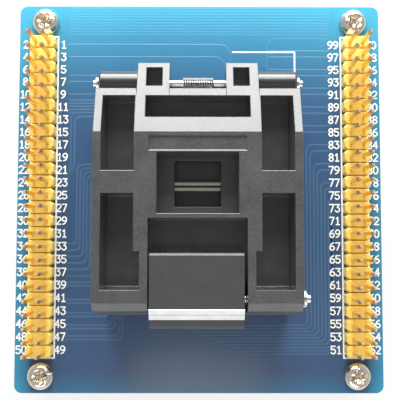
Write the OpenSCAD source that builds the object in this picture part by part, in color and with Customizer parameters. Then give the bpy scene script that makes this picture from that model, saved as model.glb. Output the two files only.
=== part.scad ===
// Programming adapter: a clamshell test socket for a 100-lead flat package,
// on a circuit board with two double-row pin headers.
// Millimetres, +Z up, +Y towards the hinge. The origin is below the board's
// centre, on the surface that the standoffs stand on.

/* [Board] */
// Width of the circuit board, across the two headers
board_w = 72.5; // [71:0.1:80]
// Depth of the circuit board, along the headers
board_d = 77.2; // [76.5:0.1:90]
// Thickness of the circuit board
board_t = 1.6; // [1:0.1:2.4]
// Radius of the board's corners
board_corner_r = 1.5; // [0.5:0.1:3]

/* [Fixings] */
// Distance from the board's left and right edges to the screw centres
screw_inset_x = 5.25; // [4.8:0.05:6]
// Distance from the board's front and rear edges to the screw centres
screw_inset_y = 3.4; // [3.2:0.05:3.5]
// Thread diameter of the corner screws
screw_d = 3; // [2.5:0.1:3.4]
// Length of a screw under its head
screw_l = 6; // [4:0.5:8]
// Diameter of a screw's pan head
screw_head_d = 5.4; // [4.6:0.1:6]
// Height of a screw's pan head
screw_head_h = 2; // [1.4:0.1:2.6]
// Length of a hexagon standoff
standoff_h = 10; // [8:1:16]
// Width of a standoff across its flats
standoff_af = 5.5; // [5:0.1:6]

/* [Headers] */
// Pitch of the header pins
pin_pitch = 2.54; // [2.5:0.01:2.56]
// Least distance from a header's end to the front or rear edge of the board
header_end = 6.4; // [6.2:0.1:8]
// Distance from the board's left and right edges to a header's centre line
header_inset = 5.135; // [4.8:0.005:6]
// Shift of the headers towards the rear
header_shift = 0.28; // [0:0.01:0.5]
// Height of a header's plastic strip
header_h = 2.54; // [2:0.01:3]
// Depth of the notches between the units of a strip
header_notch = 0.55; // [0.2:0.05:0.8]
// Side of a square header pin
pin_side = 0.64; // [0.5:0.01:0.66]
// Length of a pin above its plastic strip
pin_above = 7.1; // [5:0.1:9]
// Length of a pin under the board
pin_below = 1.5; // [1:0.1:2.5]

/* [Socket base] */
// Shift of the socket to the left of the board's centre
socket_left = 0.3; // [0:0.05:1]
// Shift of the socket's chip centre to the rear of the board's centre
socket_back = 1.14; // [0.5:0.01:2]
// How far the base stands out past the lid at the left and at the right
base_lip = 0.15; // [0:0.05:0.5]
// How far the base stands out past the lid at the front
base_step = 1; // [0.6:0.1:1.4]
// Distance from the rear of the lid's beam forward to the base's rear wall
base_back = 1; // [0.8:0.1:1.6]
// Height of the base's top above the board
base_h = 9.9; // [9.4:0.1:11]
// Half the width of the well that the pressure pad enters
well_half = 9.9; // [9.8:0.05:10.2]
// Depth of the well
well_depth = 2; // [1.9:0.05:2.3]
// Diameter of the two posts that locate the base in the board
post_d = 2; // [1.4:0.1:2.6]

/* [Contacts] */
// Number of contacts on one side of the chip
lead_count = 25; // [5:2:25]
// Pitch of the contacts
lead_pitch = 0.5; // [0.5:0.01:0.52]
// Thickness of a stamped contact
contact_t = 0.2; // [0.14:0.01:0.24]
// Distance from the chip centre to a contact's tip
tip_reach = 7.3; // [7.2:0.05:7.5]
// Height of the contact tips above the well's floor
tip_up = 0.3; // [0.2:0.05:0.5]
// Outer radius of a contact's spring bend
bend_r = 2.8; // [2.4:0.1:2.9]
// Width of the metal in a contact's spring bend
bend_w = 0.55; // [0.4:0.05:0.7]
// Length of a contact's tail under the board
tail_below = 1.2; // [0.8:0.1:2]

/* [Hinge] */
// Distance from the rear of the lid's beam to the hinge axis
hinge_back = 2.2; // [2.1:0.05:2.5]
// Height of the hinge axis above the base's top
hinge_up = 1.1; // [0.9:0.1:1.3]
// Diameter of the hinge pin
hinge_pin_d = 1.4; // [1.2:0.1:1.7]
// How far the hinge pin stands out past the base at each end
pin_end = 1.1; // [0.9:0.1:1.6]
// Radius of the base's hinge barrels
barrel_r = 2.3; // [2:0.05:2.5]
// Wire diameter of the hinge spring
hinge_wire = 0.4; // [0.3:0.05:0.5]
// Number of turns in the hinge spring
hinge_turns = 13; // [8:1:14]

/* [Lid] */
// Width of the lid
lid_w = 35.9; // [35:0.1:36.2]
// Thickness of the lid, from its underside to its flat top
lid_t = 9.7; // [9.3:0.1:10.5]
// Gap between the base and the closed lid
lid_gap = 0.4; // [0.3:0.05:0.6]
// Distance from the lid's foremost face back to the flat top
nose_slope = 2.1; // [1.8:0.1:2.4]
// Distance from the chip centre to the lid's foremost face
lid_nose = 22.4; // [22.2:0.1:22.8]
// Distance from the chip centre to the bend in the top
lid_bend = 8.7; // [8.5:0.1:9.5]
// Thickness of the lid's walls round its pockets
lid_wall = 1.45; // [1.2:0.05:1.6]
// Distance from the chip centre to the rear of the lid's beam
lid_rear = 16.8; // [16.5:0.1:16.9]
// Slope of the top behind the bend, in degrees
lid_slope = 19; // [17:0.5:21]
// Distance from the socket's middle to the inner side of a hinge lug
lug_in = 5; // [4.8:0.1:5.6]
// Distance from the socket's middle to the outer side of a hinge lug
lug_out = 10.7; // [10.4:0.1:11.2]
// Radius of the lugs round the hinge axis
lug_r = 2.75; // [2.3:0.05:2.9]
// Width of the window over the chip
window_w = 14; // [12:0.1:15]
// Depth of the window over the chip, front to rear
window_d = 10.4; // [9:0.1:10.6]

/* [Latch] */
// Distance from the lid's foremost face back to the latch axis
latch_back = 2.3; // [2.2:0.05:2.5]
// Height of the latch axis above the lid's underside
latch_up = 3.7; // [3.5:0.1:3.9]
// Diameter of the latch pin
latch_pin_d = 1.5; // [1.3:0.1:1.9]
// How far the latch pin stands out past the lid's right side
latch_pin_end = 1.9; // [1.5:0.1:2.2]
// Width of the latch plate
latch_w = 16.2; // [14:0.1:16.6]
// Gap between the latch plate and each side of its slot
latch_gap = 0.35; // [0.3:0.05:0.6]
// Shift of the latch to the left in its slot
latch_shift = 0.15; // [0:0.05:0.25]
// How far the latch's lip stands out past the lid's foremost face
lip_out = 2.4; // [2:0.1:2.8]
// Width of the strip in the latch's front edge
strip_w = 2.1; // [1.6:0.1:2.4]
// Width of the groove between the strip's two ribs
strip_groove = 0.14; // [0.1:0.02:0.3]
// Distance from the chip centre to the plate's inner edge
latch_in = 11.9; // [11.7:0.1:12.5]
// Thickness of the latch plate
latch_t = 2; // [1.6:0.1:2.1]
// Wire diameter of the latch spring
latch_wire = 0.35; // [0.25:0.05:0.45]
// Number of turns in the latch spring
latch_turns = 9; // [5:1:10]

/* [Pressure pad] */
// Gap between the square pad and the walls of its space
pad_gap = 0.3; // [0.2:0.05:0.5]
// Thickness of the pad's plate
pad_t = 2.4; // [2.2:0.1:2.6]
// Side of the square opening through the pad
pad_hole = 8.4; // [7:0.1:9]
// Shift of that opening to the rear
pad_hole_back = 0.42; // [0:0.02:0.6]
// Travel of the pad in the lid
pad_travel = 0.8; // [0.4:0.1:0.9]
// Width of a half-round spring bar
bar_w = 0.66; // [0.5:0.02:0.8]
// Distance between the centre lines of the two bars
bar_gap = 1; // [0.9:0.05:1.4]

/* [Hidden] */
$fn = 48;

// clearances
fit = 0.02; // a pin or post that doesn't turn
run = 0.05; // a pin that turns or slides
side_gap = 0.15; // hinge lug to barrel
board_top = standoff_h + board_t;
over = 1; // how far a cut goes past what it cuts

// board and headers
screw_span_x = board_w - 2 * screw_inset_x;
screw_span_y = board_d - 2 * screw_inset_y;
screw_hole_d = screw_d + 0.5;
tap_d = screw_d - 0.5;
header_span = board_w - 2 * header_inset;
header_w = 2 * pin_pitch;
pin_count = floor((board_d - 2 * header_end) / pin_pitch);
pin_hole_d = pin_side * sqrt(2) + 0.1;
pin_tip = 0.5;

// lid
lid_low = base_h + lid_gap;
lid_h = lid_low + lid_t;
lid_front = lid_nose - nose_slope;
pad_half = well_half - pad_gap;
pad_low = base_h - 0.1; // underside of the pad's plate
pad_top = pad_low + pad_t;
lid_ceiling = pad_top + pad_travel + 0.2;
pocket_floor = lid_ceiling - 1.2;
pocket_in = well_half + 1.05; // inner wall of the side pockets
pocket_out = lid_w / 2 - lid_wall;
pocket_bar = 2.7; // from the bend in the top to the rear pocket
rib_front = 1.8; // the rib between the side pockets
rib_rear = 2.1;
guide_d = 1.6;
guide_x = well_half - 1.1;
guide_y = guide_x / 2;
guide_l = 3;
bar_low = lid_low + 0.6;
bar_t = bar_w / 2;
bar_l = 2 * (well_half + 1.5);

// base
well_floor = base_h - well_depth;
tip_h = well_floor + tip_up;
base_w = lid_w + 2 * base_lip;
base_front = lid_nose + base_step;
base_rear = lid_rear - base_back;
post_out = 4.6; // the posts' distance past the well's walls, at the sides and at the front or rear
post_side = 1.1;
post_x = well_half + post_out;
post_y = well_half + post_side;
contact_base = 0.8; // underside of a contact's foot above the board
arm_l = 2.5; // from a contact's tip to the middle of its spring bend
bend_at = tip_reach + arm_l;
tail_in = 0.9; // the two staggered rows of tails, inside and outside that middle
tail_out = 1.6;
tail_rows = [bend_at - tail_in, bend_at + tail_out];
contact_foot = 0.6; // from the inner tail to the foot's end
arm_root = 0.9;
tip_w = 0.5;
tail_w = 0.4;
tail_hole_d = 0.7;
slot_half = 0.15; // half the width of a contact slot
slot_out = bend_at + bend_r + 0.8; // outer end of the contact slots
nest_half = tip_reach - 0.5;
nest_floor = 3;

// hinge
hinge_y = lid_rear + hinge_back;
hinge_z = base_h + hinge_up;
hinge_pin_l = base_w + 2 * pin_end;
lug_floor = hinge_z - lug_r - 0.5;
foot_rear = hinge_y + barrel_r;
foot_in = foot_rear - 1.5;
barrel_in = lug_out + side_gap;
barrel_out = base_w / 2;
barrel_round = 0.4;
clip_t = 0.4;
groove_deep = 0.2;
clip_gap = 0.1;
hinge_clip_wall = 0.6;
hinge_clip_r = hinge_pin_d / 2 + hinge_clip_wall;
hinge_clip_x = barrel_out + clip_gap + clip_t / 2;
spring_rise = 1.7; // height of the hinge spring's end above the hinge axis

// latch
latch_y = lid_nose - latch_back;
latch_z = lid_low + latch_up;
slot_w = latch_w + 2 * latch_gap;
slot_floor = lid_ceiling + 1;
hub_room = 2.7; // from the latch axis to the rear end of the space for its hub
slot_open = latch_y - hub_room; // the slot goes right through in front of this
plate_drop = 0.3; // the latch plate lies this far below the lid's top
plate_top = lid_h - plate_drop;
hub_wall = 1.45;
hub_r = latch_pin_d / 2 + hub_wall;
latch_clip_wall = 0.8;
latch_clip_r = latch_pin_d / 2 + latch_clip_wall;
latch_clip_in = 0.75; // from the latch pin's end back to its clip
latch_clip_x = lid_w / 2 + latch_pin_end - latch_clip_in - clip_t / 2;
recess_deep = 2.4; // depth of the base's recess behind the latch
recess_y = base_front - recess_deep;
catch_out = 1.6; // the catch stands out this far in the recess
catch_y = recess_y + catch_out;
catch_drop = 3.4;
catch_low = base_h - catch_drop; // underside of the catch
catch_gap = 0.2;
hook_y = recess_y + 0.5; // inner end of the hook
hook_t = 1.4;
apron_in = catch_y + catch_gap;
apron_t = 1.6;
spring_gap = 4; // half the width left for the latch spring
pin_seat = 0.9; // the latch pin starts this far inside the lid's left side
strip_y = lid_nose - 1; // inner edge of the strip
strip_slope = 33;
strip_in = 0.3; // depth of the strip's seat
strip_out = 0.2; // height of its ribs
lip_h = 1.4; // height of the lip's front face
lip_taper = 1.6; // below it, the lip runs back to the apron over this height

function slope_z(y) = lid_h - (y - lid_bend) * tan(lid_slope);

// a closed tube of six sides along the points p
module wire(p, d) {
    n = len(p);
    m = 6;
    dirs = [for (i = [0:n - 1]) let (v = p[min(i + 1, n - 1)] - p[max(i - 1, 0)]) v / norm(v)];
    rings = [for (i = [0:n - 1]) let (t = dirs[i],
        a = abs(t[0]) > 0.9 ? [0, 0, 1] : [1, 0, 0], c = cross(t, a), u = c / norm(c), v = cross(t, u))
        for (k = [0:m - 1]) p[i] + d / 2 * (cos(360 * k / m) * u + sin(360 * k / m) * v)];
    sides = [for (i = [0:n - 2]) for (k = [0:m - 1]) let (b = (k + 1) % m)
        for (f = [[i * m + k, (i + 1) * m + b, i * m + b], [i * m + k, (i + 1) * m + k, (i + 1) * m + b]]) f];
    polyhedron(rings, concat([[for (k = [0:m - 1]) k]], sides, [[for (k = [m - 1:-1:0]) (n - 1) * m + k]]));
}

// an outline in Y and Z, drawn out to the width w about the middle
module across(w) rotate([90, 0, 90]) translate([0, 0, -w / 2]) linear_extrude(w) children();
module both_sides() { children(); mirror([1, 0, 0]) children(); }
module at_socket() translate([-socket_left, socket_back, board_top]) children();
module block(x0, x1, y0, y1, z0, z1) translate([x0, y0, z0]) cube([x1 - x0, y1 - y0, z1 - z0]);
module x_rod(d, l) rotate([0, 90, 0]) cylinder(d = d, h = l, center = true);

// ---- board, headers and fixings ----

module at_corners() for (x = [-1, 1], y = [-1, 1])
    translate([x * screw_span_x / 2, y * screw_span_y / 2]) children();

module rounded_rect(w, d, r) {
    square([w - 2 * r, d], center = true);
    square([w, d - 2 * r], center = true);
    for (x = [-1, 1], y = [-1, 1]) translate([x * (w / 2 - r), y * (d / 2 - r)]) circle(r);
}

module at_pins() for (i = [0:pin_count - 1], x = [-1, 1])
    translate([x * pin_pitch / 2, (i - (pin_count - 1) / 2) * pin_pitch]) children();

// the four sides of the chip, with every contact's place along its side
module on_each_side() for (s = [0:3]) rotate(90 * s) children();
function lead_at(i) = (i - (lead_count - 1) / 2) * lead_pitch;

module circuit_board() color("royalblue") translate([0, 0, standoff_h]) linear_extrude(board_t) difference() {
    rounded_rect(board_w, board_d, board_corner_r);
    at_corners() circle(d = screw_hole_d);
    for (s = [-1, 1]) translate([s * header_span / 2, header_shift]) at_pins() circle(d = pin_hole_d);
    translate([-socket_left, socket_back]) {
        on_each_side() for (i = [0:lead_count - 1])
            translate([lead_at(i), tail_rows[i % 2]]) circle(d = tail_hole_d);
        at_posts() circle(d = post_d + 2 * fit);
    }
}

module at_posts() for (s = [-1, 1]) translate([s * post_x, s * post_y]) children();

module header_strip() color("orange") translate([0, header_shift, board_top])
    linear_extrude(header_h) difference() {
    union() {
        // a spine through the units, which meet at their narrow ends
        square([header_w - 2 * header_notch, pin_count * pin_pitch - 2 * header_notch], center = true);
        for (i = [0:pin_count - 1]) translate([0, (i - (pin_count - 1) / 2) * pin_pitch]) polygon([
            for (k = [0:3], j = [0, 1]) let (c = [[1, 1], [-1, 1], [-1, -1], [1, -1]][k])
                (k + j) % 2 == 0 ? [c[0] * header_w / 2, c[1] * (pin_pitch / 2 - header_notch)]
                                 : [c[0] * (header_w / 2 - header_notch), c[1] * pin_pitch / 2]]);
    }
    at_pins() square(pin_side + fit, center = true);
}

module header_pins() color("gold") intersection() {
    low = board_top - board_t - pin_below;
    high = board_top + header_h + pin_above;
    for (x = [-1, 1]) translate([x * pin_pitch / 2, header_shift, 0]) rotate([90, 0, 0])
        linear_extrude(pin_count * pin_pitch, center = true) pin_side_view(low, high);
    for (i = [0:pin_count - 1])
        translate([0, header_shift + (i - (pin_count - 1) / 2) * pin_pitch, 0])
            across(header_w) pin_side_view(low, high);
}

module pin_side_view(low, high) {
    a = pin_side / 2;
    b = a / 2;
    polygon([[-b, low], [b, low], [a, low + pin_tip], [a, high - pin_tip],
        [b, high], [-b, high], [-a, high - pin_tip], [-a, low + pin_tip]]);
}

module header_strip_left() translate([-header_span / 2, 0, 0]) header_strip();
module header_strip_right() translate([header_span / 2, 0, 0]) header_strip();
module header_pins_left() translate([-header_span / 2, 0, 0]) header_pins();
module header_pins_right() translate([header_span / 2, 0, 0]) header_pins();

module corner_screws() color("silver") at_corners() translate([0, 0, board_top]) difference() {
    union() {
        translate([0, 0, -screw_l]) cylinder(d = screw_d, h = screw_l + 0.1);
        rotate_extrude() intersection() {
            dome = (pow(screw_head_d / 2, 2) + pow(screw_head_h, 2)) / (2 * screw_head_h) + 0.6;
            translate([0, screw_head_h - dome]) circle(dome);
            square([screw_head_d / 2, screw_head_h]);
        }
    }
    for (a = [20, 110]) rotate(a) translate([0, 0, screw_head_h])
        cube([screw_head_d * 0.56, 0.7, 2.2], center = true);
}

// tapped for a screw from below, with room above for the screw that holds the board
module standoffs() color("silver") at_corners() difference() {
    upper = screw_l - board_t + 0.2;
    cylinder(d = standoff_af / cos(30), h = standoff_h, $fn = 6);
    translate([0, 0, -over]) cylinder(d = tap_d, h = standoff_h + 2 * over);
    translate([0, 0, standoff_h - upper]) cylinder(d = screw_d + 2 * fit, h = upper + over);
}

// ---- socket base, nest and contacts ----

module base_profile() {
    edge = 0.4;
    polygon([[-base_front, 0], [-base_front, base_h - edge], [-base_front + edge, base_h],
        [base_rear, base_h], [base_rear, lug_floor], [foot_in, lug_floor], [foot_in, 0]]);
}

module tower_profile() {
    chord = sqrt(pow(barrel_r, 2) - pow(hinge_z - base_h, 2));
    polygon([[base_rear - over, 0], [base_rear - over, base_h], [hinge_y - chord, base_h],
        [hinge_y, hinge_z], [foot_rear, hinge_z], [foot_rear, 0]]);
    translate([hinge_y, hinge_z]) circle(barrel_r);
}

module catch_profile() {
    edge = 0.3;
    polygon([[-recess_y + over, base_h], [-recess_y, base_h], [-catch_y, catch_low + 1.1],
        [-catch_y, catch_low + edge], [-catch_y + edge, catch_low], [-recess_y + over, catch_low]]);
}

module socket_base() color([0.12, 0.12, 0.13]) at_socket() difference() {
    union() {
        across(base_w) base_profile();
        both_sides() translate([(barrel_in + barrel_out - barrel_round) / 2, 0, 0])
            across(barrel_out - barrel_round - barrel_in) tower_profile();
        both_sides() translate([barrel_out - barrel_round, hinge_y, hinge_z]) rotate([0, 90, 0])
            cylinder(r1 = barrel_r, r2 = barrel_r - barrel_round, h = barrel_round);
        at_posts() translate([0, 0, -board_t]) cylinder(d = post_d, h = board_t + over);
    }
    // front recess with the catch
    difference() {
        block(-slot_w / 2 - 0.2, slot_w / 2 + 0.2, -base_front - over, -recess_y, -over, base_h + over);
        across(slot_w + 2 * over) catch_profile();
    }
    // well, nest pocket and contact slots
    block(-well_half, well_half, -well_half, well_half, well_floor, base_h + over);
    block(-nest_half, nest_half, -nest_half, nest_half, nest_floor, base_h + over);
    translate([0, 0, contact_base - 0.2]) linear_extrude(well_floor + 0.4 - contact_base)
        on_each_side() for (i = [0:lead_count - 1]) translate([lead_at(i), 0])
            translate([-slot_half, nest_half - 0.2]) square([2 * slot_half, slot_out - nest_half + 0.2]);
    translate([0, 0, -over]) linear_extrude(contact_base + over) on_each_side() for (i = [0:lead_count - 1])
        translate([lead_at(i), tail_rows[i % 2]]) square([2 * slot_half, tail_w + 0.1], center = true);
    translate([0, hinge_y, hinge_z]) x_rod(hinge_pin_d + 2 * fit, base_w + over);
}

module chip_nest() color([0.2, 0.2, 0.21]) at_socket() {
    side = nest_half - fit;
    wall = 0.25;
    arm = 0.9;
    block(-side, side, -side, side, nest_floor, well_floor - 0.2);
    // a low corner guide at each corner of the chip
    for (a = [0:90:270]) rotate(a) translate([side, side, well_floor - 0.3]) linear_extrude(tip_up + 1.1)
        polygon([[0, 0], [0, -arm], [-wall, -arm], [-wall, -wall], [-arm, -wall], [-arm, 0]]);
}

// one stamped contact, seen from its side: distance from the chip centre and height
module contact_shape(tail) {
    low = contact_base;
    high = low + 2 * bend_r;
    foot_in = tail_rows[0] - contact_foot;
    difference() {
        translate([bend_at, low + bend_r]) circle(bend_r);
        translate([bend_at, low + bend_r]) circle(bend_r - bend_w);
        translate([bend_at - 2 * bend_r, low - over]) square([2 * bend_r, high - low + 2 * over]);
    }
    translate([foot_in, low]) square([bend_at + 0.1 - foot_in, bend_w]);
    translate([tail - tail_w / 2, -board_t - tail_below]) square([tail_w, board_t + tail_below + low + 0.2]);
    if (tail > bend_at) translate([bend_at, low]) square([tail + tail_w / 2 - bend_at, bend_w]);
    polygon([[bend_at + 0.1, high - bend_w], [bend_at + 0.1, high], [tip_reach + arm_root, high + 0.2],
        [tip_reach + tip_w, tip_h], [tip_reach, tip_h], [tip_reach + 0.2, high - bend_w + 0.2]]);
}

module contacts(turn) color("gold") at_socket() rotate(turn) for (i = [0:lead_count - 1])
    translate([lead_at(i), 0, 0]) across(contact_t) contact_shape(tail_rows[i % 2]);

module contacts_rear() contacts(0);
module contacts_left() contacts(90);
module contacts_front() contacts(180);
module contacts_right() contacts(270);

// ---- hinge ----

module hinge_pin() color("silver") at_socket() translate([0, hinge_y, hinge_z]) difference() {
    x_rod(hinge_pin_d, hinge_pin_l);
    both_sides() translate([hinge_clip_x, 0, 0]) difference() {
        x_rod(hinge_pin_d + over, clip_t + fit);
        x_rod(hinge_pin_d - 2 * groove_deep, clip_t + over);
    }
}

// an E-clip that sits in a pin's groove
module clip(pin_d, r) {
    rotate([90, 0, 90]) linear_extrude(clip_t, center = true) difference() {
        circle(r);
        circle(d = pin_d - 2 * groove_deep + 2 * fit);
        translate([0, -r]) square([pin_d * 0.72, 2 * r], center = true);
        for (s = [-1, 1]) translate([s * r * 0.95, r * 0.35]) circle(r / 4);
    }
}

module hinge_clips() color("silver") at_socket() both_sides()
    translate([hinge_clip_x, hinge_y, hinge_z]) clip(hinge_pin_d, hinge_clip_r);

module hinge_spring() color("silver") at_socket() translate([0, hinge_y, hinge_z]) {
    r = hinge_pin_d / 2 + 2 * run + hinge_wire / 2;
    step = hinge_wire + 0.03;
    half = hinge_turns * step / 2;
    turns = [for (i = [0:hinge_turns * 12]) let (a = 30 * i)
        [-half + step * i / 12, -r * cos(a), -r * sin(a)]];
    foot = lug_floor + hinge_wire - hinge_z;
    tip = [half, -hinge_back + hinge_wire / 2 + run, spring_rise];
    wire(concat([[-half, -r, foot], [-half, -r, foot / 3]], turns, [[half, -r, 0.4], tip]), hinge_wire);
}

// ---- lid ----

module lid_profile() {
    polygon([[-lid_front, lid_h], [lid_bend, lid_h], [lid_rear, slope_z(lid_rear)], [lid_rear, lid_low],
        [-lid_nose, lid_low], [-lid_nose, lid_h - 2 * nose_slope],
        [-lid_nose + nose_slope / 4, lid_h - nose_slope]]);
}

module lug_profile() {
    translate([hinge_y, hinge_z]) circle(lug_r);
    root = lid_rear - 2;
    end = hinge_y + lug_r;
    polygon([[root, slope_z(root)], [end, slope_z(end)], [end, hinge_z], [hinge_y - lug_r, hinge_z],
        [root, lid_low]]);
}

module lid_pockets() {
    top = lid_h + over;
    front = lid_front - 2.2;
    rear = lid_rear - lid_wall;
    both_sides() {
        block(pocket_in, pocket_out, rib_rear, rear, pocket_floor, top);
        block(pocket_in, pocket_out, -front, -rib_front, pocket_floor, top);
        // the front pocket is wider beside the latch
        block(slot_w / 2 + lid_wall, pocket_in + fit, -front, -latch_in + 0.3, pocket_floor, top);
        // one pocket in each lug
        block(lug_in + 1.3, lug_out - 1.65, hinge_y - 1.7, hinge_y + 1.8, hinge_z + lug_r - 0.6, top);
    }
    rear_half = pocket_in - 1.9;
    block(-rear_half, rear_half, lid_bend + pocket_bar, rear, pocket_floor, top);
    block(-slot_w / 2 + 0.1, slot_w / 2 - 0.1, window_d / 2 + 0.35, lid_bend - 0.65, lid_h - 0.3, top);
}

module lid() color([0.17, 0.17, 0.18]) at_socket() difference() {
    union() {
        across(lid_w) lid_profile();
        both_sides() translate([(lug_in + lug_out) / 2, 0, 0]) across(lug_out - lug_in) lug_profile();
    }
    lid_pockets();
    block(-window_w / 2, window_w / 2, -window_d / 2, window_d / 2, 0, lid_h + over);
    // the pad's space, its guide bores and the notches for the spring bars
    block(-well_half, well_half, -well_half, well_half, 0, lid_ceiling);
    both_sides() for (y = [-guide_y, guide_y]) translate([guide_x, y, lid_ceiling - over])
        cylinder(d = guide_d + 2 * run, h = guide_l + over - 0.6);
    for (s = [-1, 1]) translate([0, s * bar_gap / 2, bar_low + bar_t / 2])
        cube([bar_l + 2 * fit, bar_w + 2 * fit, bar_t + 2 * fit], center = true);
    // slot for the latch
    block(-slot_w / 2, slot_w / 2, -lid_nose - over, -window_d / 2 - 0.8, slot_floor, lid_h + over);
    block(-slot_w / 2, slot_w / 2, -lid_nose - over, -slot_open, 0, lid_h + over);
    translate([-lid_w / 2 + pin_seat - 0.1, -latch_y, latch_z]) rotate([0, 90, 0])
        cylinder(d = latch_pin_d + 2 * fit, h = lid_w);
    // hinge bore, and room for the barrels
    translate([0, hinge_y, hinge_z]) x_rod(hinge_pin_d + 2 * run, 2 * (lug_out + over));
    both_sides() translate([lug_out, hinge_y, hinge_z]) rotate([0, 90, 0])
        cylinder(r = barrel_r + 0.4, h = lid_w);
}

// ---- pressure pad and its spring bars ----

module pad_spring_bars() color([0.86, 0.78, 0.6]) at_socket() for (s = [-1, 1])
    across(bar_l) translate([s * bar_gap / 2, bar_low]) intersection() {
        circle(d = bar_w);
        translate([-bar_w / 2, 0]) square([bar_w, bar_t]);
    }

module pressure_pad() color([0.1, 0.1, 0.11]) at_socket() {
    half = pad_half;
    ridge = [tip_reach - 0.1, tip_reach + 0.8];
    ridge_half = nest_half - 0.4;
    hole = pad_hole / 2;
    difference() {
        union() {
            block(-half, half, -half, half, pad_low, pad_top);
            for (a = [0:90:270]) rotate(a) translate([0, 0, tip_h + 0.3]) linear_extrude(pad_low - tip_h)
                translate([-ridge_half, ridge[0]]) square([2 * ridge_half, ridge[1] - ridge[0]]);
            both_sides() for (y = [-guide_y, guide_y]) translate([guide_x, y, pad_top - 0.1])
                cylinder(d = guide_d, h = guide_l - pad_travel);
        }
        block(-hole, hole, pad_hole_back - hole, pad_hole_back + hole, 0, lid_h);
        for (s = [-1, 1]) translate([0, s * bar_gap / 2, bar_low + bar_t / 2])
            cube([2 * half + over, bar_w + 4 * run, bar_t + 2 * fit], center = true);
    }
}

// ---- latch ----

module latch_pin() color("silver") at_socket() translate([0, -latch_y, latch_z]) difference() {
    translate([-lid_w / 2 + pin_seat, 0, 0]) rotate([0, 90, 0])
        cylinder(d = latch_pin_d, h = lid_w - pin_seat + latch_pin_end);
    translate([latch_clip_x, 0, 0]) difference() {
        x_rod(latch_pin_d + over, clip_t + fit);
        x_rod(latch_pin_d - 2 * groove_deep, clip_t + over);
    }
}

module latch_clip() color("silver") at_socket()
    translate([latch_clip_x, -latch_y, latch_z]) clip(latch_pin_d, latch_clip_r);

module latch_spring() color("silver") at_socket() translate([0, -latch_y, latch_z]) {
    r = latch_pin_d / 2 + 2 * run + latch_wire / 2;
    step = latch_wire + 0.03;
    half = latch_turns * step / 2;
    turns = [for (i = [0:latch_turns * 12]) let (a = 30 * i)
        [-half + step * i / 12, -r * cos(a), -r * sin(a)]];
    gap = latch_wire / 2 + 0.03;
    low = slot_floor + gap - latch_z;
    high = plate_top - latch_t - gap - latch_z;
    arm = latch_y - latch_in;
    wire(concat([[-half, arm * 0.67, low], [-half, arm * 0.35, low], [-half, arm * 0.05, -r],
        [-half, -r * 0.8, -r * 0.7]], turns, [[half, -r * 0.8, r * 0.7], [half, arm * 0.04, r * 1.2],
        [half, arm * 0.24, high], [half, arm * 0.73, high]]), latch_wire);
}

// the place of the strip in the latch's front edge, and its direction
module at_strip() translate([-strip_y, plate_top]) rotate(180 + strip_slope) children();

module latch_profile() {
    low = catch_low - catch_gap;
    under = plate_top - latch_t;
    lip = lid_nose + lip_out;
    lip_z = plate_top - strip_w * sin(strip_slope) - 0.5;
    edge = 0.4;
    polygon([[-latch_in, under], [-latch_in, plate_top - edge], [-latch_in - edge, plate_top],
        [-strip_y, plate_top], [-strip_y - strip_w * cos(strip_slope), lip_z + 0.5],
        [-lip + edge, lip_z + edge / 2], [-lip, lip_z - edge / 2], [-lip, lip_z - lip_h],
        [-apron_in - apron_t, lip_z - lip_h - lip_taper], [-apron_in - apron_t, low - hook_t],
        [-hook_y - 0.3, low - hook_t], [-hook_y, low - 0.6], [-hook_y, low - 0.25], [-apron_in, low],
        [-apron_in, lid_low + 0.3], [-latch_y - hub_r, latch_z], [-latch_y, latch_z],
        [-latch_y + hub_r, latch_z], [-latch_y + hub_r + 0.4, under]]);
    translate([-latch_y, latch_z]) circle(hub_r);
}

module at_latch() at_socket() translate([-latch_shift, 0, 0]) children();

module latch() color([0.16, 0.16, 0.17]) at_latch() difference() {
    across(latch_w) latch_profile();
    translate([0, -latch_y, latch_z]) x_rod(latch_pin_d + 2 * run, latch_w + over);
    block(-spring_gap, spring_gap, -latch_y - hub_r + 0.2, -latch_y + hub_r + 1.8,
        latch_z - hub_r - over, plate_top - latch_t);
    across(latch_w + over) at_strip() translate([-fit, -over])
        square([strip_w + 2 * fit, over + strip_in + fit]);
}

// a strip with two flat ribs, let into the latch's front edge
module latch_strip() color("white") at_latch() across(latch_w) at_strip() {
    rib = (strip_w - strip_groove) / 2;
    square([strip_w, strip_in]);
    for (x = [0, strip_w - rib]) translate([x, -strip_out]) square([rib, strip_in + strip_out]);
}

circuit_board();
header_strip_left();
header_strip_right();
header_pins_left();
header_pins_right();
corner_screws();
standoffs();
socket_base();
chip_nest();
contacts_front();
contacts_rear();
contacts_left();
contacts_right();
hinge_pin();
hinge_clips();
hinge_spring();
lid();
pad_spring_bars();
latch_pin();
latch_clip();
latch_spring();
latch();
latch_strip();
pressure_pad();
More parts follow.
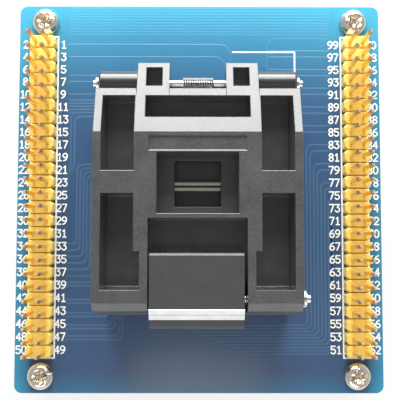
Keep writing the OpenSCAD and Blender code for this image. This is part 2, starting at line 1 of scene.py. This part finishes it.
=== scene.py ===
import math
import bmesh
import bpy
from mathutils import Euler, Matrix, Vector


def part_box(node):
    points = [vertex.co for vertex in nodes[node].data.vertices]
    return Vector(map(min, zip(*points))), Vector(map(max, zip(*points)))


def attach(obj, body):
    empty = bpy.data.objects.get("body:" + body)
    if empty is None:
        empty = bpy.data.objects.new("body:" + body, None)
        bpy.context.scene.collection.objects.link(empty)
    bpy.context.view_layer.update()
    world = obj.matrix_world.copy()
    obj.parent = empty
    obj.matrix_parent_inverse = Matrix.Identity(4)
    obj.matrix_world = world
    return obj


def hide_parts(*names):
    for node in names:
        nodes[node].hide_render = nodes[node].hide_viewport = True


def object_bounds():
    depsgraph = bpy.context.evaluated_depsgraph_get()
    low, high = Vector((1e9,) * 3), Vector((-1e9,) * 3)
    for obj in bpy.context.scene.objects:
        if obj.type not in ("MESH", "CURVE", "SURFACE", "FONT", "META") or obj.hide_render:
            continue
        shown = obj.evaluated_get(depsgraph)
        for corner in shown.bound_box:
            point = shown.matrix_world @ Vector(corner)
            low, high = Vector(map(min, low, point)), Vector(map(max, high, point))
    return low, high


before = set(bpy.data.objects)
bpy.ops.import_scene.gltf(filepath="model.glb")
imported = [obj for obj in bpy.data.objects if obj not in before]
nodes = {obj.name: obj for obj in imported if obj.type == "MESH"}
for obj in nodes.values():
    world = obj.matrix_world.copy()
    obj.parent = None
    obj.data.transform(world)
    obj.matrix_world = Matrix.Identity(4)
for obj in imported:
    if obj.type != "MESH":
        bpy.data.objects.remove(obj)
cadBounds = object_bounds()
mm = 0.001

# ---- shader sums ----


class Flow:  # a socket that can stand in a Python sum
    def __init__(self, shop, socket):
        self.shop = shop
        self.socket = socket

    def sum(self, operation, other):
        return self.shop.node("ShaderNodeMath", {"operation": operation}, {0: self, 1: other})

    def __add__(self, other): return self.sum("ADD", other)
    def __radd__(self, other): return self.sum("ADD", other)
    def __mul__(self, other): return self.sum("MULTIPLY", other)
    def __pow__(self, other): return self.sum("POWER", other)


class Shop:  # one material and its nodes
    def __init__(self, name):
        self.material = bpy.data.materials.new(name)
        self.material.use_nodes = True
        self.tree = self.material.node_tree
        self.surface = self.tree.nodes["Principled BSDF"]
        self.place = self.node("ShaderNodeTexCoord", output="Object")

    def feed(self, slot, value):
        if isinstance(value, Flow):
            self.tree.links.new(value.socket, slot)
        else:
            slot.default_value = value

    def node(self, kind, settings=None, feeds=None, output=0):
        made = self.tree.nodes.new(kind)
        for name, value in (settings or {}).items():
            setattr(made, name, value)
        for name, value in (feeds or {}).items():
            self.feed(made.inputs[name], value)
        return Flow(self, made.outputs[output])

    def noise(self, scale, detail, rough=0.5, place=None):
        return self.node("ShaderNodeTexNoise", {}, {"Vector": place or self.place, "Scale": scale,
                         "Detail": detail, "Roughness": rough})

    def stretched(self, stretch):
        return self.node("ShaderNodeVectorMath", {"operation": "MULTIPLY"}, {0: self.place, 1: stretch})

    def axis(self, index, source=None):
        return self.node("ShaderNodeSeparateXYZ", {}, {0: source or self.place}, output=index)

    def ramp(self, factor, low, high):
        return self.node("ShaderNodeMapRange", {}, {"Value": factor, "From Min": low, "From Max": high},
                         output="Result")

    def mix(self, factor, a, b):
        return self.node("ShaderNodeMix", {"data_type": "RGBA"}, {0: factor, 6: a, 7: b}, output=2)

    def bump(self, height, strength, distance):
        return self.node("ShaderNodeBump", {}, {"Height": height, "Strength": strength, "Distance": distance})

    def shade(self, **values):
        for name, value in values.items():
            self.feed(self.surface.inputs[name.replace("_", " ")], value)
        return self.material


def rgb(r, g, b):
    return (r, g, b, 1.0)


# ---- finishes ----


def solderMask(name, veil):
    look = {"deep": rgb(0.045, 0.09, 0.185), "blue": rgb(0.034, 0.09, 0.2), "lit": rgb(0.062, 0.42, 0.62),
            "edge": rgb(0.04, 0.27, 0.42), "core": rgb(0.36, 0.39, 0.26), "copper": rgb(0.2, 0.42, 0.6)}
    shop = Shop(name)
    low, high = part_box("circuit_board")
    x, y = shop.axis(0), shop.axis(1)
    # painted sheen: towards the board's rear the blue turns into the pale lit colour, a painted reflection of the
    # rear light
    rear = shop.ramp(y, high[1] * 0.26, high[1])
    front = shop.ramp(y + x * 0.15, low[1], high[1] * 0.7)
    cloud = shop.noise(45.0, 3.0)
    body = shop.mix(front, look["deep"], look["blue"])
    across = shop.node("ShaderNodeMath", {"operation": "ABSOLUTE"}, {0: x})
    sides = shop.ramp(across, high[0] - 3.4 * mm, high[0] - 0.4 * mm)
    margin = sides + shop.ramp(y, low[1] + 4 * mm, low[1]) * 0.4
    # the painted sheen is mixed in here, over a body tone that shifts slightly towards the front and is lighter
    # along the sides and the front edge
    mask = shop.mix(rear ** 2.5, shop.mix(margin * 0.8, body, look["edge"]), look["lit"])
    upright = shop.node("ShaderNodeTexCoord", output="Normal")
    face = shop.node("ShaderNodeMath", {"operation": "ABSOLUTE"}, {0: shop.axis(2, upright)})
    mask = shop.mix(veil, mask, look["copper"])
    colour = shop.mix(shop.ramp(face, 0.4, 0.6), look["core"], mask)
    ripple = shop.noise(900.0, 2.0)
    return shop.shade(Base_Color=colour, Roughness=0.18 + cloud * 0.1, Coat_Weight=0.2, Coat_Roughness=0.1,
                      Normal=shop.bump(ripple, 0.1, 0.05 * mm))


def moulded(name, colour, pale, rough, grain, size=4200.0, coat=0.6, coatRough=0.32):
    # black or yellow plastic with a fine grain
    shop = Shop(name)
    speck = shop.noise(size, 4.0, 0.6)
    cloud = shop.noise(260.0, 3.0)
    tint = shop.mix(shop.ramp(speck + cloud * 0.5, 0.55, 1.0), colour, pale)
    return shop.shade(Base_Color=tint, Roughness=rough + speck * 0.16,
                      Coat_Weight=coat, Coat_Roughness=coatRough,
                      Normal=shop.bump(speck, grain, 0.04 * mm))


def darker(colour, share):
    return tuple(part * share for part in colour[:3]) + (1.0,)


def bright(name, colour, rough, metallic=1.0):
    # metal with fine streaks
    shop = Shop(name)
    streak = shop.noise(1400.0, 4.0, 0.6, shop.stretched((0.12, 1.0, 1.0)))
    cloud = shop.noise(500.0, 2.0)
    tint = shop.mix(shop.ramp(cloud, 0.3, 0.7), colour, darker(colour, 0.86))
    return shop.shade(Base_Color=tint, Metallic=metallic, Roughness=rough + streak * 0.12,
                      Normal=shop.bump(streak, 0.12, 0.02 * mm))


def plainPrint(name, colour, rough):
    shop = Shop(name)
    speck = shop.noise(3000.0, 3.0)
    tint = shop.mix(shop.ramp(speck, 0.35, 0.8), colour, darker(colour, 0.9))
    return shop.shade(Base_Color=tint, Roughness=rough + speck * 0.1, Normal=shop.bump(speck, 0.2, 0.02 * mm))


def pinGold():
    # gold with painted reflections: bright gold near the plastic, where it mirrors the yellow strip, brown under
    # the tip as a painted dark reflection, and a paler pinkish tip as a painted highlight
    shop = Shop("pinGold")
    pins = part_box("header_pins_left")[1][2]
    z = shop.axis(2)
    streak = shop.noise(1400.0, 3.0, 0.6, shop.stretched((1.0, 1.0, 0.15)))
    # painted reflection and shade, set by height along the pin
    body = shop.mix(shop.ramp(z, pins - 2.6 * mm, pins - 1.0 * mm), rgb(1.0, 0.64, 0.13), rgb(0.42, 0.22, 0.07))
    tint = shop.mix(shop.ramp(z, pins - 0.5 * mm, pins - 0.25 * mm), body, rgb(0.66, 0.42, 0.3))
    return shop.shade(Base_Color=tint, Metallic=0.35, Roughness=0.24 + streak * 0.12,
                      Normal=shop.bump(streak, 0.1, 0.02 * mm))


finish = {
    "board": solderMask("solderMask", 0.0),
    "track": solderMask("trackMask", 0.12),
    "lid": moulded("lidPlastic", rgb(0.03, 0.029, 0.03), rgb(0.085, 0.082, 0.084), 0.36, 0.42,
                   size=3600.0, coat=1.0, coatRough=0.22),
    "latch": moulded("latchPlastic", rgb(0.028, 0.027, 0.028), rgb(0.045, 0.044, 0.045), 0.4, 0.2),
    "base": moulded("basePlastic", rgb(0.014, 0.014, 0.015), rgb(0.026, 0.026, 0.027), 0.26, 0.12,
                    coatRough=0.14),
    "pad": moulded("padPlastic", rgb(0.09, 0.095, 0.092), rgb(0.12, 0.126, 0.122), 0.4, 0.2),
    "strip": moulded("stripPlastic", rgb(1.0, 0.69, 0.12), rgb(1.0, 0.76, 0.2), 0.3, 0.12, 2500.0),
    "pins": pinGold(),
    "gold": bright("contactGold", rgb(0.86, 0.6, 0.24), 0.22),
    "bar": bright("barGold", rgb(1.0, 0.92, 0.8), 0.35, metallic=0.0),
    "nickel": bright("nickel", rgb(0.83, 0.82, 0.8), 0.12),
    "spacer": bright("spacerNickel", rgb(0.5, 0.49, 0.46), 0.34),
    "zinc": bright("screwZinc", rgb(0.9, 0.8, 0.67), 0.16),
    # the latch strip's pure white is a painted highlight, standing for the bright ridges at the latch's front, on
    # a satin strip
    "satinPaintedHighlight": bright("satinStripPaintedHighlight", rgb(1.0, 1.0, 1.0), 0.5, metallic=0.2),
    "tin": bright("solder", rgb(0.72, 0.73, 0.74), 0.2),
    "print": plainPrint("whitePrint", rgb(0.97, 0.98, 0.98), 0.45),
}
wears = {
    "circuit_board": "board", "header_strip_left": "strip", "header_strip_right": "strip",
    "header_pins_left": "pins", "header_pins_right": "pins", "corner_screws": "zinc", "standoffs": "spacer",
    "socket_base": "base", "chip_nest": "pad", "contacts_front": "gold", "contacts_rear": "gold",
    "contacts_left": "gold", "contacts_right": "gold", "hinge_pin": "nickel", "hinge_clips": "nickel",
    "hinge_spring": "nickel", "lid": "lid", "pad_spring_bars": "bar", "latch_pin": "nickel",
    "latch_clip": "nickel", "latch_spring": "nickel", "latch": "latch", "latch_strip": "satinPaintedHighlight",
    "pressure_pad": "pad",
}
for name, key in wears.items():
    mesh = nodes[name].data
    mesh.materials.clear()
    mesh.materials.append(finish[key])
print("stage: finishes on", len(wears), "nodes")


# ---- moulded edges ----


def newPiece(name, mesh, key, body):
    piece = bpy.data.objects.new(name, mesh)
    bpy.context.scene.collection.objects.link(piece)
    mesh.materials.clear()
    mesh.materials.append(finish[key])
    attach(piece, body)
    return piece


softEdges = {
    "lid": ("lidShell", "cover", "black_plastic", 0.12, 2),
    "latch": ("latchShell", "latch_lever", "latch_plastic", 0.1, 2),
    "latch_strip": ("stripShell", "latch_lever", "steel", 0.06, 2),
    "pressure_pad": ("padShell", "pad", "black_plastic", 0.08, 1),
}
edgeRule = {"weld": 0.001 * mm, "flat": math.radians(0.5), "sharp": math.radians(32.0)}


def softened(node, name, body, cadSlot, width, steps):
    copy = bmesh.new()
    copy.from_mesh(nodes[node].data)
    bmesh.ops.remove_doubles(copy, verts=copy.verts, dist=edgeRule["weld"])
    if node == "lid":  # its flat sides have long thin triangles, which the bevel would crease
        bmesh.ops.dissolve_limit(copy, angle_limit=edgeRule["flat"], verts=copy.verts, edges=copy.edges)
    mesh = bpy.data.meshes.new(name)
    copy.to_mesh(mesh)
    copy.free()
    piece = newPiece(name, mesh, wears[node], body)
    bevel = piece.modifiers.new("edges", "BEVEL")
    bevel.width = width * mm
    bevel.segments = steps
    bevel.limit_method = "ANGLE"
    bevel.angle_limit = edgeRule["sharp"]
    bevel.use_clamp_overlap = False
    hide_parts(node)
    for face in mesh.polygons:
        face.use_smooth = False


for node, how in softEdges.items():
    softened(node, *how)
print("stage: moulded edges")


# ---- rows of units, screws and solder ----

boardLow, boardTop = (point[2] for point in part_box("circuit_board"))
stripBox = {side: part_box("header_strip_" + side) for side in ("left", "right")}
rows = 25
pitch = (stripBox["left"][1][1] - stripBox["left"][0][1]) / rows
firstRow = stripBox["left"][1][1] - pitch / 2
headerX = {side: (box[0][0] + box[1][0]) / 2 for side, box in stripBox.items()}


def finished(build, name, key, body):
    mesh = bpy.data.meshes.new(name)
    build.to_mesh(mesh)
    build.free()
    return newPiece(name, mesh, key, body)


def ringOf(build, points, z):
    return [build.verts.new((x, y, z)) for x, y in points]


def loft(build, rings, closed=True):
    # skin a stack of rings that have the same number of points
    for low, high in zip(rings, rings[1:]):
        count = len(low)
        for i in range(count if closed else count - 1):
            j = (i + 1) % count
            build.faces.new((low[i], low[j], high[j], high[i]))


def circleOf(x, y, radius, count):
    return [(x + radius * math.cos(2 * math.pi * i / count), y + radius * math.sin(2 * math.pi * i / count))
            for i in range(count)]


def stripUnits(side):
    # one moulded unit for each pair of pins, with a V between neighbours
    unit = {"notch": 0.55 * mm, "edge": 0.16 * mm, "gap": 0.02 * mm, "groove": 0.08 * mm, "deep": 0.7 * mm}
    low, high = stripBox[side]
    half = (high[0] - low[0]) / 2
    build = bmesh.new()
    for row in range(rows):
        y = firstRow - row * pitch
        rings = []
        for inset, groove, z in ((0.0, 0.0, low[2]), (0.0, 0.0, high[2] - unit["deep"]),
                                 (0.0, unit["groove"], high[2] - unit["deep"] + unit["groove"]),
                                 (0.0, unit["groove"], high[2] - unit["edge"]),
                                 (unit["edge"], unit["groove"], high[2])):
            wide, long = half - inset, pitch / 2 - unit["gap"] - groove - inset
            cutX, cutY = wide - unit["notch"], long - unit["notch"]
            corners = ((wide, -cutY), (wide, cutY), (cutX, long), (-cutX, long),
                       (-wide, cutY), (-wide, -cutY), (-cutX, -long), (cutX, -long))
            rings.append(ringOf(build, [(headerX[side] + px, y + py) for px, py in corners], z))
        loft(build, rings)
        build.faces.new(rings[-1])
        build.faces.new(rings[0][::-1])
    name = "stripUnits" + side.title()
    piece = finished(build, name, "strip", "base")
    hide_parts("header_strip_" + side)


def screwHeads():
    # pan heads with a cross recess, on plain shanks
    screw = {"radius": 2.7 * mm, "shank": 1.5 * mm, "arm": 1.55 * mm, "half": 0.45 * mm, "deep": 1.3 * mm,
             "rim": 0.45 * mm, "crown": 2.6, "rings": (1.0, 0.97, 0.92, 0.85, 0.77, 0.7), "around": 48,
             "mouthAt": 0.7, "footSize": 0.62, "tipSize": 0.2, "tipDeep": 1.2, "smoothFrom": 0.25}
    corner = math.atan2(screw["half"], screw["arm"])
    angles = sorted([2 * math.pi * i / screw["around"] for i in range(screw["around"])]
                    + [quarter * math.pi / 2 + side * corner for quarter in range(4) for side in (-1, 1)])
    low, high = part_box("corner_screws")
    head = high[2] - boardTop
    radius, shank = screw["radius"], screw["shank"]
    build = bmesh.new()

    def cross(angle):
        fold = abs((angle + math.pi / 4) % (math.pi / 2) - math.pi / 4)
        return min(screw["arm"] / math.cos(fold), screw["half"] / max(math.sin(fold), 1e-6))

    for number, (x, y) in enumerate((px, py) for px in (low[0] + radius, high[0] - radius)
                                    for py in (low[1] + radius, high[1] - radius)):
        turn = math.radians(25 + 37 * number)

        def ring(reach, z):
            return ringOf(build, [(x + reach(a) * math.cos(a + turn), y + reach(a) * math.sin(a + turn))
                                  for a in angles], z)

        def dome(reach):
            fall = max(0.0, 1 - (reach / radius) ** screw["crown"])
            return boardTop + screw["rim"] + (head - screw["rim"]) * math.sqrt(fall)

        rings = [ring(lambda a: shank, low[2]), ring(lambda a: shank, boardTop),
                 ring(lambda a: radius, boardTop)]
        for part in screw["rings"]:
            rings.append(ring(lambda a: radius * part, dome(radius * part)))
        mouth = ring(lambda a: cross(a), dome(screw["arm"] * screw["mouthAt"]))
        foot = ring(lambda a: cross(a) * screw["footSize"], boardTop + head - screw["deep"])
        tip = ring(lambda a: cross(a) * screw["tipSize"], boardTop + head - screw["deep"] * screw["tipDeep"])
        loft(build, rings + [mouth, foot, tip])
        build.faces.new(tip)
        build.faces.new(rings[0][::-1])
    piece = finished(build, "panScrews", "zinc", "base")
    for face in piece.data.polygons:
        face.use_smooth = face.normal.z > screw["smoothFrom"] and face.center.z > boardTop + screw["rim"]
    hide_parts("corner_screws")


def solderJoints():
    # a pad and a fillet under the board at every pin and tail
    joint = {"pin": (0.85 * mm, 0.36 * mm, 1.0 * mm), "tail": (0.42 * mm, 0.24 * mm, 0.6 * mm),
             "lead": 0.5 * mm, "tailRows": (8.9 * mm, 11.4 * mm), "pad": 0.03 * mm,
             "waist": (0.62, 0.25), "shoulder": (1.1, 0.6), "around": 12, "flat": 0.95}
    build = bmesh.new()

    def fillet(x, y, foot, neck, height):
        waist, shoulder = joint["waist"], joint["shoulder"]
        outline = ((foot, 0.0), (foot, joint["pad"]), (foot * waist[0], height * waist[1]),
                   (neck * shoulder[0], height * shoulder[1]), (neck, height))
        rings = [ringOf(build, circleOf(x, y, radius, joint["around"]), boardLow - z) for radius, z in outline]
        loft(build, rings)
        build.faces.new(rings[-1][::-1])

    for x in headerX.values():
        for row in range(rows):
            for side in (-1, 1):
                fillet(x + side * pitch / 2, firstRow - row * pitch, *joint["pin"])
    for turn in range(4):
        for lead in range(rows):
            along, out = (lead - (rows - 1) / 2) * joint["lead"], joint["tailRows"][lead % 2]
            place = Vector((along, out)).to_3d()
            place.rotate(Euler((0, 0, turn * math.pi / 2)))
            fillet(socketMid + place.x, chipY + place.y, *joint["tail"])
    piece = finished(build, "solderJoints", "tin", "base")
    for face in piece.data.polygons:
        face.use_smooth = abs(face.normal.z) < joint["flat"]


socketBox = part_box("lid")
socketMid = (socketBox[0][0] + socketBox[1][0]) / 2
hingeY = (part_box("hinge_pin")[0][1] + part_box("hinge_pin")[1][1]) / 2
hingeToChip = 19.0 * mm
chipY = hingeY - hingeToChip


def socket(axis, value):
    return socketMid + value * mm if axis == "x" else chipY + value * mm


for side in stripBox:
    stripUnits(side)
screwHeads()
solderJoints()
print("stage: units, screws, solder")


# ---- copper tracks under the mask ----

track = {"half": 0.2 * mm, "crown": 0.07 * mm, "height": 0.022 * mm, "faint": 0.01 * mm,
         "bend": 1.3 * mm, "reach": 26.3}


def rounded(points):
    # the path with its corners turned into curves
    path = [Vector(points[0])]
    for before, corner, after in zip(points, points[1:], points[2:]):
        middle = Vector(corner)
        back, ahead = Vector(before) - middle, Vector(after) - middle
        cut = min(track["bend"], back.length * 0.45, ahead.length * 0.45)
        start, end = middle + back.normalized() * cut, middle + ahead.normalized() * cut
        for step in range(6):
            t = step / 5
            path.append(start * (1 - t) ** 2 + middle * (2 * t * (1 - t)) + end * t ** 2)
    return path + [Vector(points[-1])]


def ridge(build, points, z, up, height):
    path = rounded([(x * mm, y * mm) for x, y in points])
    half, crown = track["half"], track["crown"]
    profile = ((-half, 0.0), (-crown, height), (crown, height), (half, 0.0))
    lines = []
    for before, here, after in zip([path[0]] + path, path, path[1:] + [path[-1]]):
        along = (after - before).normalized()
        side = Vector((-along.y, along.x))
        edges = [(here + side * out, z + up * rise) for out, rise in profile]
        lines.append([build.verts.new((edge.x, edge.y, level)) for edge, level in edges])
    loft(build, lines, closed=False)


def trackPaths():
    # millimetres on the board: the header's rows, the bundles beside the socket, the fan round it
    pin = (headerX["right"] - pitch / 2) / mm
    step = pitch / mm
    first = firstRow / mm
    under = 14.0
    for line in range(10):
        yield [(-27.4, 38.2 - 0.6 * line), (27.4, 38.2 - 0.6 * line)]
    for row in range(2):
        y = first - row * step
        yield [(-pin, y), (4.9 - 0.9 * row, y), (6.2 - 0.9 * row, y - 1.3), (6.2 - 0.9 * row, under)]
    for y in (first - 2.5 * step, first - 3 * step):
        yield [(-pin, y), (-under, y)]
    for line in range(6):
        y = first - 4 * step - (1.27 if line else 0) - 0.62 * max(0, line - 1)
        yield [(-pin, first - 4 * step - 0.75 * line), (-26.2, y), (-under, y)]
    for line in range(2):
        yield [(-pin, 4.0 - 1.2 * line), (-25.0 - 0.75 * line, 6.0), (-25.0 - 0.75 * line, 16.06 + 0.7 * line),
               (-under, 16.06 + 0.7 * line)]
    for line in range(6):
        x, y = -24.4 + 0.68 * line, 6.37 - 0.72 * line
        yield [(-under, y), (x, y), (x, -9.4 - 1.27 * line), (-pin, -9.4 - 1.27 * line)]
    for y in (-17.0, -17.7, -20.4, -21.1):
        yield [(-pin, y), (-under, y)]
    for line, y in enumerate((-23.0, -23.7, -25.4, -26.1, -27.5, -28.2)):
        yield [(-pin, y), (-18.4 + 0.65 * line, y), (-18.4 + 0.65 * line, -16.0)]
    for line in range(40):
        y = first - step / 2 - line * step / 2
        if line % 3 == 2:
            continue
        if y > 12:
            yield [(pin, y), (under, y)]
        elif line < 30:
            nest = (line - 15) - (line - 15) // 3
            x = 21.4 + 0.72 * nest
            yield [(pin, y), (x, y), (x, -25.4 - 0.62 * nest), (-4.0 + 1.5 * nest, -25.4 - 0.62 * nest)]
        else:
            yield [(pin, y), (pin - 2.2, y)]
    yield [(pin, first + step / 2), (14.6, first + step / 2), (13.6, first + step / 2 - 1.0), (13.6, 26.0)]


def copperTracks():
    build = bmesh.new()
    for path in trackPaths():
        # the rear bundle is faint, and only on top
        bundle = path[0][1] > 32 and path[0][0] > -28
        shown = [(max(-track["reach"], min(track["reach"], x)), y) for x, y in path]
        ridge(build, shown, boardTop, 1, track["faint"] if bundle else track["height"])
        if not bundle:
            ridge(build, [(-x, y) for x, y in path], boardLow, -1, track["height"])
    finished(build, "copperTracks", "track", "base")


copperTracks()
print("stage: tracks")


# ---- printed numbers and lines ----

strokes = {
    "0": [[(0, .25), (0, .75), (.2, 1), (.4, 1), (.6, .75), (.6, .25), (.4, 0), (.2, 0), (0, .25)]],
    "1": [[(.12, .8), (.34, 1), (.34, 0)], [(.12, 0), (.56, 0)]],
    "2": [[(0, .8), (.18, 1), (.42, 1), (.6, .8), (.6, .62), (0, 0), (.6, 0)]],
    "3": [[(0, 1), (.6, 1), (.28, .6), (.45, .6), (.6, .42), (.6, .2), (.42, 0), (.18, 0), (0, .18)]],
    "4": [[(.45, 0), (.45, 1), (0, .32), (.62, .32)]],
    "5": [[(.58, 1), (.04, 1), (.02, .56), (.4, .6), (.6, .42), (.6, .18), (.42, 0), (.18, 0), (0, .14)]],
    "6": [[(.5, 1), (.2, .85), (0, .5), (0, .2), (.18, 0), (.42, 0), (.6, .2), (.6, .38), (.42, .56), (.02, .5)]],
    "7": [[(0, 1), (.6, 1), (.2, 0)]],
    "8": [[(.3, .54), (.08, .64), (.02, .8), (.18, 1), (.42, 1), (.58, .8), (.52, .64), (.3, .54), (.06, .4),
           (0, .2), (.18, 0), (.42, 0), (.6, .2), (.54, .4), (.3, .54)]],
    "9": [[(.1, 0), (.4, .12), (.6, .5), (.6, .8), (.42, 1), (.18, 1), (0, .8), (0, .62), (.18, .44), (.58, .5)]],
}
printing = {"height": 1.45 * mm, "line": 0.27 * mm, "advance": 1.12 * mm, "lift": 0.03 * mm,
            "step": 0.001 * mm, "levels": 24, "inward": 3.75 * mm, "outward": 3.85 * mm, "rightIn": 0.35 * mm,
            "rightOut": 0.2 * mm, "hundredOut": 0.6 * mm, "hundredPitch": 0.8, "outline": 0.34 * mm,
            "boxHalf": 2.62 * mm, "boxPast": 0.62, "cornerMark": 0.32 * mm}


def ribbon(build, path, width, z):
    # a flat line with round ends, each face a hair above the one before
    for (x0, y0), (x1, y1) in zip(path, path[1:]):
        along = Vector((x1 - x0, y1 - y0))
        if along.length < 1e-9:
            continue
        side = Vector((-along.y, along.x)).normalized() * width / 2
        start, end = Vector((x0, y0)), Vector((x1, y1))
        corners = [start - side, end - side, end + side, start + side]
        level = z + len(build.faces) % printing["levels"] * printing["step"]
        build.faces.new([build.verts.new((c.x, c.y, level)) for c in corners])
    for x, y in path:
        level = z + len(build.faces) % printing["levels"] * printing["step"]
        build.faces.new([build.verts.new((px, py, level)) for px, py in circleOf(x, y, width / 2, 10)])


def numberPaths(text, x, y, size, advance):
    start = x - ((len(text) - 1) * advance + size * 0.62) / 2
    for place, sign in enumerate(text):
        for stroke in strokes[sign]:
            yield [(start + place * advance + px * size * 0.95, y + (py - 0.5) * size) for px, py in stroke]


def printBoard():
    build = bmesh.new()
    z = boardTop + printing["lift"]
    size, line = printing["height"], printing["line"]
    left, right = headerX["left"], headerX["right"]
    inward, outward = printing["inward"], printing["outward"]
    for row in range(rows):
        y = firstRow - row * pitch
        back = printing["rightOut"] if row else printing["hundredOut"]
        marks = ((2 * row + 1, left + inward), (2 * row + 2, left - outward),
                 (99 - 2 * row, right - inward - printing["rightIn"]), (100 - 2 * row, right + outward - back))
        for number, x in marks:
            advance = printing["advance"] * (printing["hundredPitch"] if number == 100 else 1.0)
            for path in numberPaths(str(number), x, y, size, advance):
                ribbon(build, path, line, z)
    half, past = printing["boxHalf"], pitch * printing["boxPast"]
    top, bottom = firstRow + past, firstRow - (rows - 1) * pitch - past
    for centre in (left, right):
        box = [(centre - half, top), (centre + half, top), (centre + half, bottom), (centre - half, bottom),
               (centre - half, top)]
        ribbon(build, box, printing["outline"], z)
    corner = (socket("x", 19.5), socket("y", 28.14))
    ribbon(build, [(socket("x", 7.0), corner[1]), corner, (corner[0], socket("y", 24.0))],
           printing["cornerMark"], z)
    finished(build, "boardPrint", "print", "base")


printBoard()
print("stage: board print")

# ---- floor, light and camera ----

studio = {"floorTone": 0.86, "floorWhite": 0.8, "floorHalf": 3.0, "floorDrop": 0.0002, "sides": 0.5,
          "overhead": 0.22, "darkFrom": (0.92, 0.985), "cool": (0.95, 0.98), "target": (0.0, 0.0, 0.02)}
lamps = {  # place, size and radiance
    "windowRear": ((0.0, 0.4, 0.33), (0.42, 0.22), 10.0),
    "windowLow": ((0.0, 0.49, 0.16), (0.42, 0.17), 16.0),
    "fillFront": ((-0.05, -0.5, 0.32), (0.4, 0.3), 2.5),
}
patch = {"place": (0.0, -0.15, 0.52), "target": (0.0, -0.03, 0.02), "size": (0.13, 0.06), "radiance": 3.2}


def floorMaterial():
    shop = Shop("paleFloor")
    grain = shop.noise(30.0, 2.0)
    tone = studio["floorTone"]
    pale = rgb(tone, tone, tone)
    shop.shade(Base_Color=shop.mix(grain, pale, darker(pale, 0.97)), Roughness=0.8)
    seen = shop.node("ShaderNodeLightPath", output="Is Camera Ray")
    mirror = shop.node("ShaderNodeLightPath", output="Is Glossy Ray")
    white = shop.node("ShaderNodeEmission", {}, {"Color": rgb(1, 1, 1), "Strength": 1.0})
    lit = Flow(shop, shop.surface.outputs[0])
    both = shop.node("ShaderNodeMixShader", {}, {0: (seen + mirror) * studio["floorWhite"], 1: lit, 2: white})
    shop.tree.links.new(both.socket, shop.tree.nodes["Material Output"].inputs[0])
    return shop.material


def makeFloor():
    build = bmesh.new()
    bmesh.ops.create_grid(build, x_segments=1, y_segments=1, size=studio["floorHalf"])
    mesh = bpy.data.meshes.new("floor")
    build.to_mesh(mesh)
    build.free()
    mesh.materials.append(floorMaterial())
    floor = bpy.data.objects.new("floor", mesh)
    floor.location.z = cadBounds[0][2] - studio["floorDrop"]
    bpy.context.scene.collection.objects.link(floor)


def areaLight(name, place, target, size, radiance):
    data = bpy.data.lights.new(name, "AREA")
    data.shape = "RECTANGLE"
    data.size, data.size_y = size
    data.energy = radiance * math.pi * size[0] * size[1]
    lamp = bpy.data.objects.new(name, data)
    lamp.location = place
    lamp.rotation_euler = (Vector(target) - Vector(place)).to_track_quat("-Z", "Y").to_euler()
    bpy.context.scene.collection.objects.link(lamp)


def makeWorld():
    # pale all round, and darker straight above
    world = bpy.data.worlds.new("studio")
    bpy.context.scene.world = world
    world.use_nodes = True
    tree = world.node_tree
    place = tree.nodes.new("ShaderNodeTexCoord")
    split = tree.nodes.new("ShaderNodeSeparateXYZ")
    upward = tree.nodes.new("ShaderNodeMapRange")
    tone = tree.nodes.new("ShaderNodeMix")
    tone.data_type = "RGBA"
    upward.inputs["From Min"].default_value, upward.inputs["From Max"].default_value = studio["darkFrom"]
    red, green = studio["cool"]
    for slot, value in ((6, studio["sides"]), (7, studio["overhead"])):
        tone.inputs[slot].default_value = rgb(red * value, green * value, value)
    tree.links.new(place.outputs["Generated"], split.inputs[0])
    tree.links.new(split.outputs["Z"], upward.inputs["Value"])
    tree.links.new(upward.outputs["Result"], tone.inputs[0])
    tree.links.new(tone.outputs[2], tree.nodes["Background"].inputs[0])


def makeCamera():
    # fitted to the photo, with its height counted from the board's top
    view = {"sensor": 36.0, "lens": 59.08, "x": -0.31 * mm, "y": -8.43 * mm, "height": 130.71 * mm,
            "turn": (0.0594, -0.0035, 0.0014), "near": 0.01, "far": 20.0}
    data = bpy.data.cameras.new("camera")
    data.sensor_width = view["sensor"]
    data.lens = view["lens"]
    data.clip_start, data.clip_end = view["near"], view["far"]
    camera = bpy.data.objects.new("camera", data)
    camera.location = (view["x"], view["y"], boardTop + view["height"])
    camera.rotation_mode = "ZYX"
    camera.rotation_euler = Euler(view["turn"], "ZYX")
    bpy.context.scene.collection.objects.link(camera)
    bpy.context.scene.camera = camera


makeFloor()
makeWorld()
for name, (place, size, radiance) in lamps.items():
    areaLight(name, place, studio["target"], size, radiance)
areaLight("patchFront", patch["place"], patch["target"], patch["size"], patch["radiance"])
makeCamera()
bpy.context.scene.view_settings.view_transform = "Standard"
print("stage: studio")
